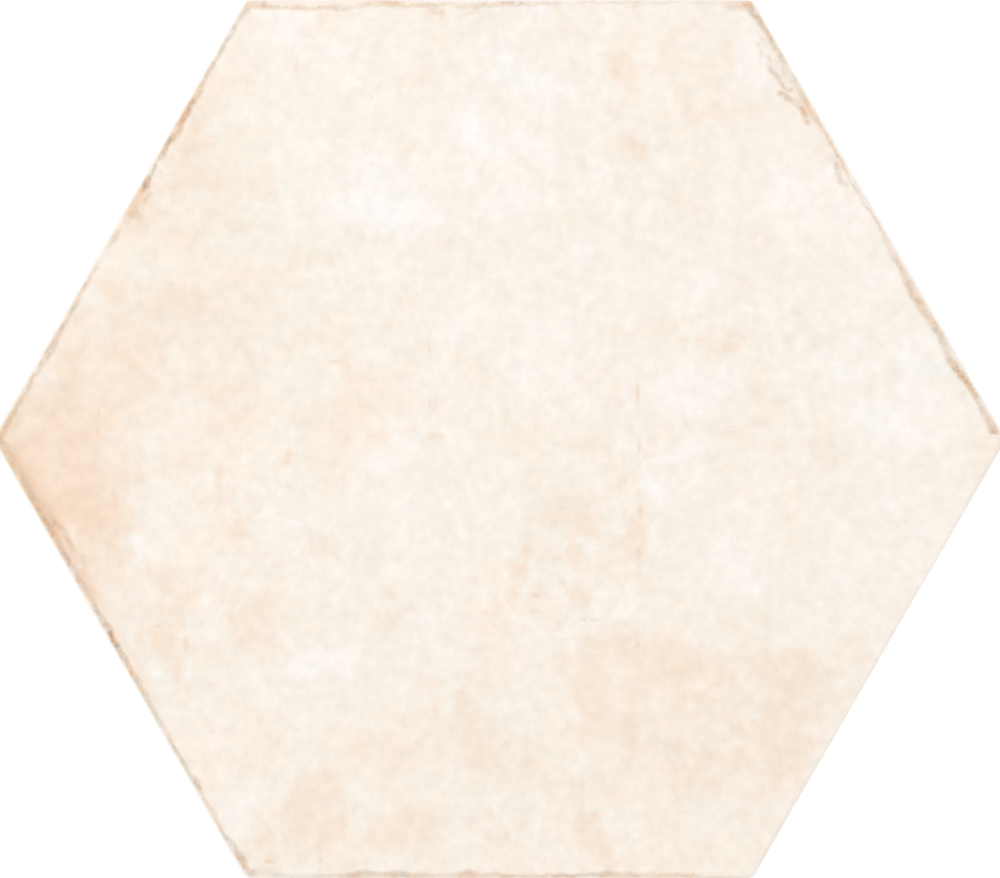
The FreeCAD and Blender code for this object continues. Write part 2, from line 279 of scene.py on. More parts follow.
# Patches of the face's colour: middle in x and y, half width, half height and tone
PATCHES = [
    # The deep peach of the west corner and what fades from it
    (-112, -8, 21, 25, 4.0),
    (-100, -28, 8, 13, 2.0),
    (-90, 12, 9, 16, 1.3),
    (-106, 20, 8, 10, 1.4),
    (-88, 32, 11, 12, 1.1),
    (-94, 37, 4, 4, 1.2),
    (-75, 68, 9, 18, 1.0),
    (-88, 56, 5, 7, 1.1),
    (-70, 26, 14, 30, 0.5),
    (-52, 26, 22, 34, 0.3),
    (-82, 48, 11, 20, 0.6),
    (-66, -72, 14, 12, 0.3),
    (-82, -46, 9, 15, 0.9),
    (-83, -58, 5, 7, 0.9),
    (-66, 8, 10, 8, 0.5),
    (-76, 80, 9, 14, 0.8),
    (-84, 0, 12, 8, 0.7),
    (-90, 54, 6, 8, 0.6),
    (-74, -10, 9, 9, 0.5),
    # Mottles of the middle
    (-42, 5, 12, 9, 0.7),
    (-36, 8, 3, 3, 0.8),
    (-65, -22, 4, 4, 0.9),
    (-46, -22, 4, 3, 0.8),
    (-59, -44, 8, 5, 0.9),
    (-26, -38, 3, 3, 0.9),
    (-16, 0, 3, 3, 0.9),
    (17, -19, 9, 4, 1.0),
    (22, -25, 4, 5, 1.1),
    (9, -29, 6, 5, 0.9),
    (33.5, -24, 3, 10, 0.9),
    (20, -37, 5, 3, 1.0),
    (6, -40, 7, 4, 0.9),
    (-3, -62, 10, 24, 0.8),
    (-32, -41, 10, 7, 0.5),
    (-30, 10, 8, 7, 0.5),
    (30, -14, 5, 5, 0.6),
    (2, -32, 7, 10, 0.6),
    (30, -35, 5, 5, 0.5),
    (10, -45, 6, 5, 0.5),
    (-70, -55, 6, 6, 0.5),
    (-70, 73, 6, 7, 0.6),
    (58.5, 25.5, 2.4, 2, 1.9),
    (-50, -5, 14, 6, 0.5),
    (-5, -25, 10, 5, 0.6),
    (20, -25, 5, 5, 0.5),
    (-20, -63, 5, 5, 0.7),
    (86, -8, 9, 8, 0.6),
    (-70, -17, 6, 6, 0.5),
    (-40, 14, 5, 5, 0.6),
    (-28, -44, 6, 6, 0.5),
    (0, -45, 5, 5, 0.5),
    # The peach of the south east
    (48, -64, 26, 13, 1.0),
    (72, -66, 16, 14, 1.1),
    (46, -57, 12, 5, 0.5),
    (70, -56, 12, 4, 0.5),
    (70, -76, 9, 7, 0.7),
    (51, -80, 11, 6, 0.9),
    (32, -75, 4, 8, 1.3),
    (21, -62, 5, 14, 0.9),
    (29, -51, 7, 4, 1.4),
    (84, -50, 7, 5, 1.2),
    (20, -97, 6, 8, 1.4),
    (38, -96, 10, 6, 0.1),
    (74, -80, 9, 8, 0.8),
    (30, -84, 6, 6, 0.6),
    (64, -45, 9, 5, 0.5),
    # The peach of the south
    (-44, -92, 10, 7, 1.6),
    (-20, -96, 9, 5, 1.1),
    (-27, -76, 6, 7, 1.1),
    (-12, -70, 13, 9, 0.6),
    (-54, -99, 8, 8, 0.9),
    (0, -75, 8, 8, 0.5),
    (68, -84, 10, 5, 0.4),
    (-62, -74, 10, 16, 0.35),
    (89, -54, 5, 6, 0.6),
    (5, -79, 75, 13, 0.25),
    # The peach of the north east
    (32, 95, 5, 9, 1.4),
    (42, 92, 8, 6, 0.3),
    (48, 84, 3, 7, 0.7),
    (30, 72, 4, 4, 0.7),
    (64, 74, 6, 6, 0.3),
    (-66, 62, 10, 14, 0.6),
    # The whitish patches
    (-30, 67, 13, 6, -0.3),
    (-7, 71, 8, 6, -1.0),
    (-6, 66, 34, 16, -0.4),
    (8, 66, 10, 8, -0.45),
    (-28, 56, 9, 5, -0.8),
    (5, 57, 10, 6, -0.5),
    (-38, 92, 13, 8, -0.2),
    (-53, 98, 7, 7, -0.8),
    (8, 87, 9, 8, -0.6),
    (10, 40, 14, 12, -0.4),
    (47, 39, 11, 9, -0.6),
    (49, 11, 11, 8, -0.7),
    (39, -10, 4, 7, -1.2),
    (96, 8, 9, 5, -0.7),
    (98, -4, 5, 4, -0.7),
    (85, 20, 8, 4, -0.6),
    (90, -32, 5, 5, -0.6),
    (60, -30, 8, 8, -0.6),
    (-42, -55, 8, 4, -1.4),
    (70, 56, 8, 6, -0.8),
    (-28, -5, 5, 4, -0.9),
    (-79, -16, 10, 12, -0.2),
    (-56, -62, 10, 6, -0.3),
    (14, 14, 12, 9, -0.4),
    (-95, -26, 8, 7, -1.5),
    (-58, 32, 14, 6, -0.4),
    (50, -15, 6, 6, -0.5),
    (-9, 69, 6, 6, -0.7),
    (45, -9, 8, 8, -0.5),
    (22, 34, 9, 16, -0.5),
    (20, 64, 5, 5, -0.5),
    (-10, 28, 8, 8, -0.5),
    (106, 22, 6, 14, -0.2),
    (5, 23, 30, 9, -0.35),
    (58, 94, 6, 7, -0.6),
    (39, 73, 6, 5, -0.5),
]

# Small marks in the face, and painted highlights on the flakes' facets: middle in x and y, half width, half
# height and tone
MARKS_AND_HIGHLIGHTS = [
    (-49.6, 91.4, 0.7, 2.6, 4.0),
    (34, 10, 0.6, 6.5, 2.6),
    (34.4, -3.5, 0.7, 4.5, 2.8),
    (34.6, -16, 0.8, 4, 3.0),
    (34.2, -29, 0.9, 3, 2.6),
    (30.5, -45.5, 1.8, 1, 4.0),
    (34, -50, 0.6, 4, 2.4),
    (-15.5, 0.6, 2.6, 1.6, 2.2),
    (-17, 22, 0.5, 5, 2.2),
    (-17, 8, 0.5, 3.4, 1.8),
    (8.5, -38.5, 2.8, 0.7, 2.8),
    (15.5, -35, 1.5, 1.2, 2.6),
    (22, -44.5, 3.6, 0.7, 2.4),
    (-82.5, -46, 3, 1, 2.4),
    (-77, -50, 1, 2.2, 2.2),
    (-98.5, 3.5, 0.6, 4.5, 2.6),
    (-40, 19, 3, 0.9, 1.8),
    (74, 31, 2.4, 0.8, 1.8),
    (-83.5, 55.4, 1.4, 0.7, 1.6),
    (-56.5, -103.8, 2, 0.6, 4.0),
    (-44, -104.5, 0.5, 2.4, 3.0),
    (20.5, -88, 0.7, 9, 1.6),
    # Painted highlights: the pale facets of the flakes
    (69.3, 83.6, 1.1, 0.8, -1.6),
    (71, 86.6, 0.9, 1, -1.4),
    (65, 100.2, 0.9, 1.1, -1.4),
    (81.1, 66.6, 0.9, 2.2, -1.2),
    (26.7, 104.2, 0.8, 1.4, -1.2),
    (56.1, 104.7, 1.6, 1.1, -1.2),
    (-1.3, 104.2, 1.4, 0.9, -1.3),
    (-60, 105, 1.6, 1, -0.8),
    (-109.1, -16.3, 0.9, 1.7, -1.2),
    (-104.8, -22.2, 0.8, 1.7, -1.2),
    (-83.5, 67, 1.1, 1.1, -1.4),
    (-81.8, 65, 1.3, 1.3, -1.3),
]

# Where the face is pitted and flecked with painted highlights and painted shade of its pits: middle in x and
# y, half width, half height and strength
FLECKED = [
    (-76, -46, 17, 12, 1.0),
    (-62, -10, 16, 14, 0.8),
    (-46, -28, 14, 12, 0.5),
    (14, -36, 20, 13, 1.0),
    (33, -20, 8, 24, 0.8),
    (-17, 2, 7, 6, 1.0),
    (-24, -38, 9, 7, 0.7),
    (60, 28, 22, 10, 0.6),
    (-32, 44, 14, 8, 0.6),
    (14, -96, 22, 7, 0.7),
    (-46, -98, 16, 7, 0.6),
    (56, -74, 22, 12, 0.6),
    (-84, 66, 8, 16, 0.7),
    (75, 84, 5, 5, 1.6),
    (71, 91, 5, 5, 1.8),
    (66.5, 98.5, 4.5, 4.5, 1.6),
    (83.5, 65.5, 4, 5, 1.4),
    (20, 105, 60, 4, 0.8),
]

# How the face's looks stray: strength, length of the waves, layer of noise and number of finer noises
DRIFT_ACROSS = (4.5, 14.0, 10, 3)           # how far the patches' outlines drift, in millimetres
DRIFT_UP = (4.5, 14.0, 20, 3)
PATCH_MOTTLE = (0.4, 5.0, 30, 3)
BROAD_MOTTLE = (0.35, 32.0, 40, 1)
MOTTLE = (0.36, 8.0, 50, 3)
STROKE_TURN = (1.0, 9.0, 70, 2)
FLECK_FIELD = (0.35, 11.0, 75, 3)
SHADE = (0.012, 4.0, 80, 3)
WARMTH = (0.012, 18.0, 90, 5)
DEEPEST_PATCH = 3.3
STROKE_MIX = 0.3                            # how far from 0 the strokes are all upright or all level

# How a spot fades: up to the first share of its reach it is full, and at the second it has gone
PATCH_FADE = (0.35, 1.25)
MARK_FADE = (0.2, 1.25)
FLECKED_FADE = (0.5, 1.3)
RIM_FADE = (0.3, 1.5)
SPOT_POWER = 2.0                            # of an ellipse
PATCH_POWER = 3.0                           # of a spot that is a little squarer

# The camera looks straight down, and its frame cuts the tile's corners as the photograph's does.
FRAME_WIDTH = 245.8 * MM
CAMERA_MIDDLE = (0.17 * MM, 0.06 * MM)
LENS_MM, SENSOR_MM = 200.0, 36.0


def linear(red, green, blue):
    """A colour given in the usual 0 to 255 steps, as the shader takes it."""
    shares = [step / 255 for step in (red, green, blue)]
    return [((share + 0.055) / 1.055) ** 2.4 for share in shares] + [1.0]


def add_camera():
    """The photograph's view from straight above."""
    data = bpy.data.cameras.new("camera")
    data.lens, data.sensor_width = LENS_MM, SENSOR_MM
    camera = bpy.data.objects.new("camera", data)
    distance = FRAME_WIDTH * LENS_MM / SENSOR_MM
    camera.location = (*CAMERA_MIDDLE, FACE_LEVEL * MM + distance)
    bpy.context.scene.collection.objects.link(camera)
    bpy.context.scene.camera = camera


# Fields over the face


def smooth(value, low, high):
    """A smooth step from 0 at low to 1 at high."""
    share = np.clip((value - low) / (high - low), 0.0, 1.0)
    return share * share * (3 - 2 * share)


def soft_noise(x, y, length, layer):
    """Smooth noise from -1 to 1 with spots of this length. Each layer has a pattern of its own."""
    grid = np.random.default_rng(layer).uniform(-1, 1, (NOISE_GRID, NOISE_GRID))
    column, row = np.floor(x / length).astype(int), np.floor(y / length).astype(int)
    across, up = smooth(x / length - column, 0.0, 1.0), smooth(y / length - row, 0.0, 1.0)
    left, right = column % NOISE_GRID, (column + 1) % NOISE_GRID
    below, above = row % NOISE_GRID, (row + 1) % NOISE_GRID
    lower = grid[below, left] * (1 - across) + grid[below, right] * across
    upper = grid[above, left] * (1 - across) + grid[above, right] * across
    return lower * (1 - up) + upper * up


def layered(x, y, length, layer, octaves):
    """Noise with finer and weaker noise on it."""
    return sum(soft_noise(x, y, length / 2**n, layer + n) / OCTAVE_FADE**n for n in range(octaves))


def strayed(x, y, stray):
    """How far something that strays like this is off here."""
    strength, length, layer, octaves = stray
    return strength * layered(x, y, length, layer, octaves)


def sunk(x, y, relief):
    """How far a surface with this relief is sunk here."""
    depth, length, layer = relief
    return depth * (0.5 + 0.5 * soft_noise(x, y, length, layer))


def ellipse_reach(x, y, spot, power):
    """How far out a point lies in this spot: 0 in its middle and 1 on its outline."""
    middle_x, middle_y, half_width, half_height = spot[:4]
    across, up = np.abs(x - middle_x) / half_width, np.abs(y - middle_y) / half_height
    return (across**power + up**power) ** (1 / power)


def faded(reach, fade):
    """1 where a spot is full and 0 where it has gone."""
    return smooth(-reach, -fade[1], -fade[0])


def ground_tone(x, y):
    """The face's tone without its marks and its finest grain."""
    drifted_x = x + strayed(x, y, DRIFT_ACROSS)
    drifted_y = y + strayed(x, y, DRIFT_UP)
    reaches = (ellipse_reach(drifted_x, drifted_y, spot, PATCH_POWER) for spot in PATCHES)
    patches = sum(spot[4] * faded(reach, PATCH_FADE) for spot, reach in zip(PATCHES, reaches))
    patches = patches * (1 + strayed(x, y, PATCH_MOTTLE))
    patches = DEEPEST_PATCH * np.tanh(patches / DEEPEST_PATCH)
    return patches + strayed(x, y, BROAD_MOTTLE) + strayed(x, y, MOTTLE)


def flecked(x, y):
    """How strongly the face is flecked with painted highlights and painted shade of its pits."""
    areas = [spot[4] * faded(ellipse_reach(x, y, spot, SPOT_POWER), FLECKED_FADE) for spot in FLECKED]
    return np.max(areas, axis=0) + FLECK_FIELD[0] + strayed(x, y, FLECK_FIELD)


def mark_and_highlight_tone(x, y):
    """The tone of the small marks and of the painted highlights on the flakes' facets."""
    return sum(spot[4] * faded(ellipse_reach(x, y, spot, SPOT_POWER), MARK_FADE) for spot in MARKS_AND_HIGHLIGHTS)


def rim_tone(x, y):
    """The tone of the thin lines along the rims of the flakes."""
    place = np.stack([x, y], axis=1)
    tone = np.zeros(len(x))
    for half_width, strength, route in FLAKE_RIMS:
        for start, end in zip(np.array(route), np.array(route[1:])):
            step = end - start
            share = np.clip((place - start) @ step / (step @ step), 0.0, 1.0)
            distance = np.hypot(*(place - start - share[:, None] * step).T)
            tone = np.maximum(tone, strength * faded(distance / half_width, RIM_FADE))
    return tone


def painted_pale_lip(x, y, inset):
    """1 on the face, and less on the narrow lip of the slanting sides, where painted light cancels the shade
    on their sloping worn edge.
    """
    slanting = np.abs(x) * math.cos(TWELFTH_TURN) + np.abs(y) * math.sin(TWELFTH_TURN) > np.abs(y)
    return np.where(slanting, smooth(inset, *PAINTED_LIP), 1.0)


def face_relief(x, y):
    """How far the pressed face lies below its highest level here."""
    marks = MARK_DEPTH * np.clip(mark_and_highlight_tone(x, y) / FULL_MARK, 0.0, 1.0)
    return sunk(x, y, SWELL) + sunk(x, y, RIPPLE) + marks


def hexagon_reach(x, y):
    """How far this point lies from the tile's middle, measured square to the side that it is nearest to."""
    return np.max([x * math.cos(turn) + y * math.sin(turn) for turn in SIDE_TURNS], axis=0)


# The tile's mesh


def heading(turn):
    """The level direction at this angle from +X."""
    return np.array((math.cos(turn), math.sin(turn)))


def perimeter():
    """The outline's points, anticlockwise, and for each what the worn line is like beside it."""
    half_side = APOTHEM * math.tan(TWELFTH_TURN)
    half_straight = half_side - CORNER_RADIUS * math.tan(TWELFTH_TURN)
    places, looks = [], []
    for name, turn in zip(SIDE_NAMES, SIDE_TURNS):
        out, along = heading(turn), heading(turn + math.pi / 2)
        travels = half_straight * (2 * np.arange(SIDE_STEPS) / SIDE_STEPS - 1)
        arc_middle = out * (APOTHEM - CORNER_RADIUS) + along * half_straight
        arc_turns = turn + SIXTH_TURN * np.arange(CORNER_STEPS) / CORNER_STEPS
        places += [out * APOTHEM + along * travel for travel in travels]
        places += [arc_middle + CORNER_RADIUS * heading(arc_turn) for arc_turn in arc_turns]
        shares = np.concatenate([0.5 + travels / half_side / 2, np.ones(CORNER_STEPS)])
        stops = np.array(WORN_LINE[name]).T
        looks.append(np.stack([np.interp(shares, stops[0], column) for column in stops[1:]], axis=1))
    return np.array(places), np.concatenate(looks)


def solid_tree():
    """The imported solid, ready for rays."""
    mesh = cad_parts["tile"].data
    return BVHTree.FromPolygons([v.co for v in mesh.vertices], [p.vertices for p in mesh.polygons])


def height_above(tree, x, y):
    """The height of the solid's upper surface here."""
    hit = tree.ray_cast(Vector((x, y, PROBE_HEIGHT)) * MM, Vector((0, 0, -1)))[0]
    return hit.z / MM


def rim_heights(tree, places):
    """The solid's height at each ring and outline point, with its facets smoothed out."""
    rows = []
    for inset in RIM_INSETS:
        shrink = 1 - max(inset, PROBE_INSET) / APOTHEM
        rows.append([height_above(tree, x, y) for x, y in places * shrink])
    heights = np.array(rows)
    for _ in range(SMOOTHING_ROUNDS):
        beside = (np.roll(heights, 1, axis=1) + np.roll(heights, -1, axis=1)) / 2
        heights = (heights + beside) / 2
    return heights


class TileMesh:
    """Vertices, faces, the zone of each face, and what the material reads at each vertex."""

    def __init__(self):
        self.places, self.looks = [], []
        self.faces, self.zones = [], []
        self.count = 0

    def points(self, x, y, z, looks=None):
        """Adds vertices and returns their numbers."""
        count = len(x)
        self.places.append(np.stack([x, y, z], axis=1))
        self.looks.append(np.zeros((count, LOOK_COLUMNS)) if looks is None else looks)
        self.count += count
        return list(range(self.count - count, self.count))

    def face(self, corners, zone):
        """Adds a face in this zone of the tile."""
        self.faces.append(corners)
        self.zones.append(zone)

    def band(self, outer, inner, zone):
        """Joins two closed rings of as many vertices."""
        count = len(outer)
        for n in range(count):
            m = (n + 1) % count
            self.face((outer[n], outer[m], inner[m], inner[n]), zone)

    def fill(self, numbers, edges, zone, face_up):
        """Joins these vertices, none of which lie above each other, into triangles that keep the edges."""
        places = np.concatenate(self.places)
        flat = [Vector(places[number, :2]) for number in numbers]
        spots, _, triangles, origins, _, _ = delaunay_2d_cdt(flat, edges, [], 1, SAME_POINT)
        for triangle in triangles:
            corners = [numbers[origins[corner][0]] for corner in triangle]
            self.face(tuple(corners if face_up else reversed(corners)), zone)


def ring_edges(start, count):
    """The edges of a closed ring of this many points."""
    return [(start + n, start + (n + 1) % count) for n in range(count)]


def pulled_in(x, y, z, share=1.0):
    """The place with the waver and the grain of the joint faces, which only ever lead inwards."""
    depth = sunk(x + z, y - z, WAVER) + sunk(x + z, y - z, WALL_GRAIN)
    keep = 1 - share * depth / APOTHEM
    return x * keep, y * keep


def add_rim(mesh, tree, places, looks):
    """The rings of the face's edge, from the joint faces inwards."""
    rings = []
    for inset, height in zip(RIM_INSETS, rim_heights(tree, places)):
        x, y = (places * (1 - inset / APOTHEM)).T
        worn = np.clip((FACE_LEVEL - height) / FULL_WEAR, 0.0, 1.0)
        level = height - worn * sunk(x, y, CRUMBLE) - face_relief(x, y)
        x, y = pulled_in(x, y, level, max(1 - inset / WAVER_REACH, 0.0))
        rings.append(mesh.points(x, y, level, looks))
    for outer, inner in zip(rings, rings[1:]):
        mesh.band(outer, inner, "face")
    return rings


def lattice(spacing):
    """Points of a triangular lattice that covers the tile."""
    row_step = spacing * math.sin(SIXTH_TURN)
    rows = np.arange(-int(APOTHEM / row_step) - 1, int(APOTHEM / row_step) + 2)
    columns = np.arange(-int(2 * APOTHEM / spacing), int(2 * APOTHEM / spacing) + 1)
    column, row = (side.ravel() for side in np.meshgrid(columns, rows))
    return (column + 0.5 * (row % 2)) * spacing, row * row_step


def near_mark(x, y):
    """Whether a point lies in or close about a mark."""
    wide = [(spot[0], spot[1], spot[2] + MARK_MARGIN, spot[3] + MARK_MARGIN) for spot in MARKS_AND_HIGHLIGHTS]
    return np.min([ellipse_reach(x, y, spot, SPOT_POWER) for spot in wide], axis=0) < 1


def add_face(mesh, inner_ring):
    """The walking face inside the rim, with closer points about its marks."""
    numbers = list(inner_ring)
    for spacing, by_mark in ((FACE_SPACING, False), (MARK_SPACING, True)):
        x, y = lattice(spacing)
        inside = hexagon_reach(x, y) < APOTHEM - RIM_INSETS[-1] - spacing / 2
        chosen = inside & (near_mark(x, y) == by_mark)
        x, y = x[chosen], y[chosen]
        numbers += mesh.points(x, y, FACE_LEVEL - face_relief(x, y))
    mesh.fill(numbers, ring_edges(0, len(inner_ring)), "face", True)


def add_wall(mesh, places, top_ring):
    """The joint faces, down to the bevel, and the bevel. Returns the ring round the back."""
    x, y = places.T
    top = mesh.places[0][:, 2]
    upper = top_ring
    for share_down in WALL_SHARES:
        level = top + (BACK_EDGE_BEVEL - top) * share_down
        wall_x, wall_y = pulled_in(x, y, level)
        lower = mesh.points(wall_x, wall_y, level)
        mesh.band(lower, upper, "wall")
        upper = lower
    inner = 1 - BACK_EDGE_BEVEL / APOTHEM
    back_ring = mesh.points(x * inner, y * inner, sunk(x, y, BACK_GRAIN))
    mesh.band(back_ring, upper, "wall")
    return back_ring


def cell_places():
    """The middles of the back's cells, in rings about a plain pad."""
    row_step = KEY_PITCH * math.cos(TWELFTH_TURN)
    cell_reach = KEY_PITCH / 2 / math.cos(TWELFTH_TURN)
    rings = int((APOTHEM - KEY_BORDER - cell_reach) / row_step)
    steps = range(-rings, rings + 1)
    return [
        heading(0) * KEY_PITCH * a + heading(SIXTH_TURN) * KEY_PITCH * b
        for a in steps
        for b in steps
        if abs(a + b) <= rings and (a, b) != (0, 0)
    ]


def hexagon_points(place, reach, first_turn):
    """The corners of a hexagon about this place."""
    return np.array([place + heading(first_turn + SIXTH_TURN * n) * reach for n in range(SIDES)])


def add_back(mesh, back_ring):
    """The honeycomb of the back, which fills the ring round it."""
    mouth = (KEY_PITCH - KEY_RIB_WIDTH) / 2 / math.cos(TWELFTH_TURN)
    floor = mouth - KEY_DEPTH * math.tan(KEY_DRAFT) / math.cos(TWELFTH_TURN)
    numbers, edges = list(back_ring), ring_edges(0, len(back_ring))
    cells = cell_places()
    for place in cells:
        edges += ring_edges(len(numbers), SIDES) + ring_edges(len(numbers) + SIDES, SIDES)
        rings = [
            hexagon_points(place, mouth, TWELFTH_TURN),
            hexagon_points(place, floor, TWELFTH_TURN),
            hexagon_points(place, CELL_POINT_REACH, 0.0),
            [place],
        ]
        x, y = np.concatenate(rings).T
        depth = np.concatenate([np.zeros(SIDES), np.full(len(x) - SIDES, KEY_DEPTH)])
        numbers += mesh.points(x, y, depth + sunk(x, y, BACK_GRAIN))
    x, y = lattice(BACK_SPACING)
    from_cell = np.min([np.hypot(x - place[0], y - place[1]) for place in cells], axis=0)
    inside = hexagon_reach(x, y) < APOTHEM - BACK_EDGE_BEVEL - BACK_SPACING / 2
    chosen = inside & (from_cell > mouth + BACK_SPACING / 3)
    x, y = x[chosen], y[chosen]
    numbers += mesh.points(x, y, sunk(x, y, BACK_GRAIN))
    mesh.fill(numbers, edges, "back", False)


# The map that the export bakes the colours through: the face, the back and the six walls side by side
MAP_MARGIN = 0.01
FACE_MAP_WIDTH = 0.78
BACK_MAP_WIDTH = 0.34
WALL_MAP_STEP = 0.046
HALF_WIDTH = APOTHEM / math.cos(TWELFTH_TURN)


def flat_map(x, y, width, left, top):
    """A level point's place in the map, in a hexagon of this width."""
    scale = width / 2 / HALF_WIDTH
    return left + width / 2 + x * scale, top - (APOTHEM - y) * scale


def wall_map(x, y, z, side):
    """A wall point's place in the map, in the strip of its side."""
    scale = FACE_MAP_WIDTH / 2 / HALF_WIDTH
    along = np.dot((x, y), heading(SIDE_TURNS[side] + math.pi / 2))
    drop = APOTHEM - np.dot((x, y), heading(SIDE_TURNS[side]))
    left = 2 * MAP_MARGIN + BACK_MAP_WIDTH
    return left + (along + HALF_WIDTH / 2) * scale, MAP_MARGIN + side * WALL_MAP_STEP + (z - drop) * scale


def map_place(x, y, z, zone, side):
    """Where a corner of a face in this zone lies in the map."""
    if zone == "face":
        return flat_map(x, y, FACE_MAP_WIDTH, MAP_MARGIN, 1 - MAP_MARGIN)
    if zone == "back":
        back_top = MAP_MARGIN + BACK_MAP_WIDTH * math.cos(TWELFTH_TURN)
        return flat_map(x, y, BACK_MAP_WIDTH, MAP_MARGIN, back_top)
    return wall_map(x, y, z, side)


def add_map(mesh, places, data):
    """Lays every face out in the bake's map."""
    layer = data.uv_layers.new(name="OFBake")
    spots = []
    for corners, zone in zip(mesh.faces, mesh.zones):
        middle = places[list(corners)].mean(axis=0)
        side = int(math.atan2(middle[1], middle[0]) % math.tau / SIXTH_TURN)
        for corner in corners:
            spots.extend(map_place(*places[corner], zone, side))
    layer.data.foreach_set("uv", spots)


def add_attribute(data, name, columns):
    """Gives the material three values at each vertex."""
    layer = data.attributes.new(name, "FLOAT_VECTOR", "POINT")
    layer.data.foreach_set("vector", np.stack(columns, axis=1).astype(np.float32).ravel())


def make_tile():
    """The whole dressed tile as one closed mesh."""
    mesh, tree = TileMesh(), solid_tree()
    outline, looks = perimeter()
    rings = add_rim(mesh, tree, outline, looks)
    add_face(mesh, rings[-1])
    back_ring = add_wall(mesh, outline, rings[0])
    add_back(mesh, back_ring)
    places = np.concatenate(mesh.places)
    data = bpy.data.meshes.new("dressed_tile")
    data.from_pydata((places * MM).tolist(), [], mesh.faces)
    x, y = places[:, 0], places[:, 1]
    inset = APOTHEM - hexagon_reach(x, y)
    looks = np.concatenate(mesh.looks).T
    upright = smooth(strayed(x, y, STROKE_TURN), -STROKE_MIX, STROKE_MIX)
    add_attribute(data, "ground", (ground_tone(x, y), mark_and_highlight_tone(x, y), upright))
    # The lip carries painted light that cancels the shade on the slanting sides' sloping worn edge
    add_attribute(data, "edge", (inset, painted_pale_lip(x, y, inset), rim_tone(x, y)))
    add_attribute(data, "line", looks[:3])
    add_attribute(data, "glow", looks[3:])
    add_attribute(data, "tint", (strayed(x, y, SHADE), strayed(x, y, WARMTH), flecked(x, y)))
    add_map(mesh, places, data)
    data.shade_smooth()
    data.set_sharp_from_angle(angle=SHARP_ANGLE)
    data.materials.append(glaze())
    data.materials.append(fired_body())
    data.polygons.foreach_set("material_index", [int(zone != "face") for zone in mesh.zones])
    tile = bpy.data.objects.new("dressed_tile", data)
    bpy.context.scene.collection.objects.link(tile)
    return tile


# Materials


class Shader:
    """Short ways to add and link the nodes of a material."""

    def __init__(self, name):
        self.material = bpy.data.materials.new(name)
        self.material.use_nodes = True
        self.tree = self.material.node_tree
        self.tree.nodes.clear()

    def node(self, kind, inputs=(), **settings):
        """Adds a node. Each input is a number, a colour or another node's socket."""
        node = self.tree.nodes.new(kind)
        for name, value in settings.items():
            setattr(node, name, value)
        for place, value in dict(inputs).items():
            if isinstance(value, bpy.types.NodeSocket):
                self.tree.links.new(value, node.inputs[place])
            else:
                node.inputs[place].default_value = value
        return node

    def math(self, operation, *values, clamp=False):
        """One sum of numbers or sockets."""
        return self.node("ShaderNodeMath", enumerate(values), operation=operation, use_clamp=clamp).outputs[0]

    def add(self, first, *others):
        """The sum of several."""
        for other in others:
            first = self.math("ADD", first, other)
        return first

    def times(self, first, *others):
        """The product of several."""
        for other in others:
            first = self.math("MULTIPLY", first, other)
        return first

    def rest(self, value):
        """What is left of 1."""
        return self.math("SUBTRACT", 1.0, value)

    def vector(self, operation, *values):
        """One sum of vectors."""
        return self.node("ShaderNodeVectorMath", enumerate(values), operation=operation).outputs["Vector"]

    def between(self, value, low, high, at_low=0.0, at_high=1.0):
        """A smooth step from one value at low to another at high."""
        inputs = {"Value": value, "From Min": low, "From Max": high, "To Min": at_low, "To Max": at_high}
        return self.node("ShaderNodeMapRange", inputs, interpolation_type="SMOOTHSTEP").outputs["Result"]

    def noise(self, vector, length, detail, roughness, dimensions="2D"):
        """Noise with waves of this length."""
        inputs = {"Vector": vector, "Scale": 1 / length, "Detail": detail, "Roughness": roughness}
        return self.node("ShaderNodeTexNoise", inputs, noise_dimensions=dimensions).outputs["Fac"]

    def squeezed_noise(self, vector, squeeze, length):
        """Noise whose spots are longer along the axes that are squeezed."""
        return self.noise(self.vector("MULTIPLY", vector, squeeze), length, 1.0, 0.5)

    def bump(self, height, strength, distance):
        """The normal of a surface with this fine relief."""
        inputs = {"Height": height, "Strength": strength, "Distance": distance}
        return self.node("ShaderNodeBump", inputs).outputs["Normal"]

    def about_zero(self, value, reach):
        """Noise from 0 to 1 turned into noise from -reach to reach."""
        return self.times(self.add(value, -0.5), 2 * reach)

    def mix(self, factor, first, second):
        """One colour into another."""
        node = self.node("ShaderNodeMix", {"Factor": factor}, data_type="RGBA")
        for name, value in (("A", first), ("B", second)):
            socket = next(s for s in node.inputs if s.name == name and s.type == "RGBA")
            if isinstance(value, bpy.types.NodeSocket):
                self.tree.links.new(value, socket)
            else:
                socket.default_value = value
        return next(s for s in node.outputs if s.type == "RGBA")

    def ramp(self, value, stops):
        """The colour at this value, between stops that each have a value from 0 to 1 and a colour."""
        node = self.node("ShaderNodeValToRGB", {"Fac": value})
        elements = node.color_ramp.elements
        while len(elements) < len(stops):
            elements.new(1.0)
        for element, (place, colour) in zip(elements, stops):
            element.position = place
            element.color = colour
        return node.outputs["Color"]

    def attribute(self, name):
        """The three values that the mesh holds at each vertex under this name."""
        held = self.node("ShaderNodeAttribute", attribute_name=name, attribute_type="GEOMETRY")
        return self.node("ShaderNodeSeparateXYZ", {"Vector": held.outputs["Vector"]}).outputs

    def millimetres(self):
        """The place on the piece."""
        scaled = self.node("ShaderNodeVectorMath", operation="SCALE")
        scaled.inputs["Scale"].default_value = 1 / MM
        self.tree.links.new(self.node("ShaderNodeTexCoord").outputs["Object"], scaled.inputs[0])
        return scaled.outputs["Vector"]

    def finish(self, inputs):
        """Ends the material in one principled surface."""
        surface = self.node("ShaderNodeBsdfPrincipled", inputs)
        output = self.node("ShaderNodeOutputMaterial")
        self.tree.links.new(surface.outputs["BSDF"], output.inputs["Surface"])
        return self.material


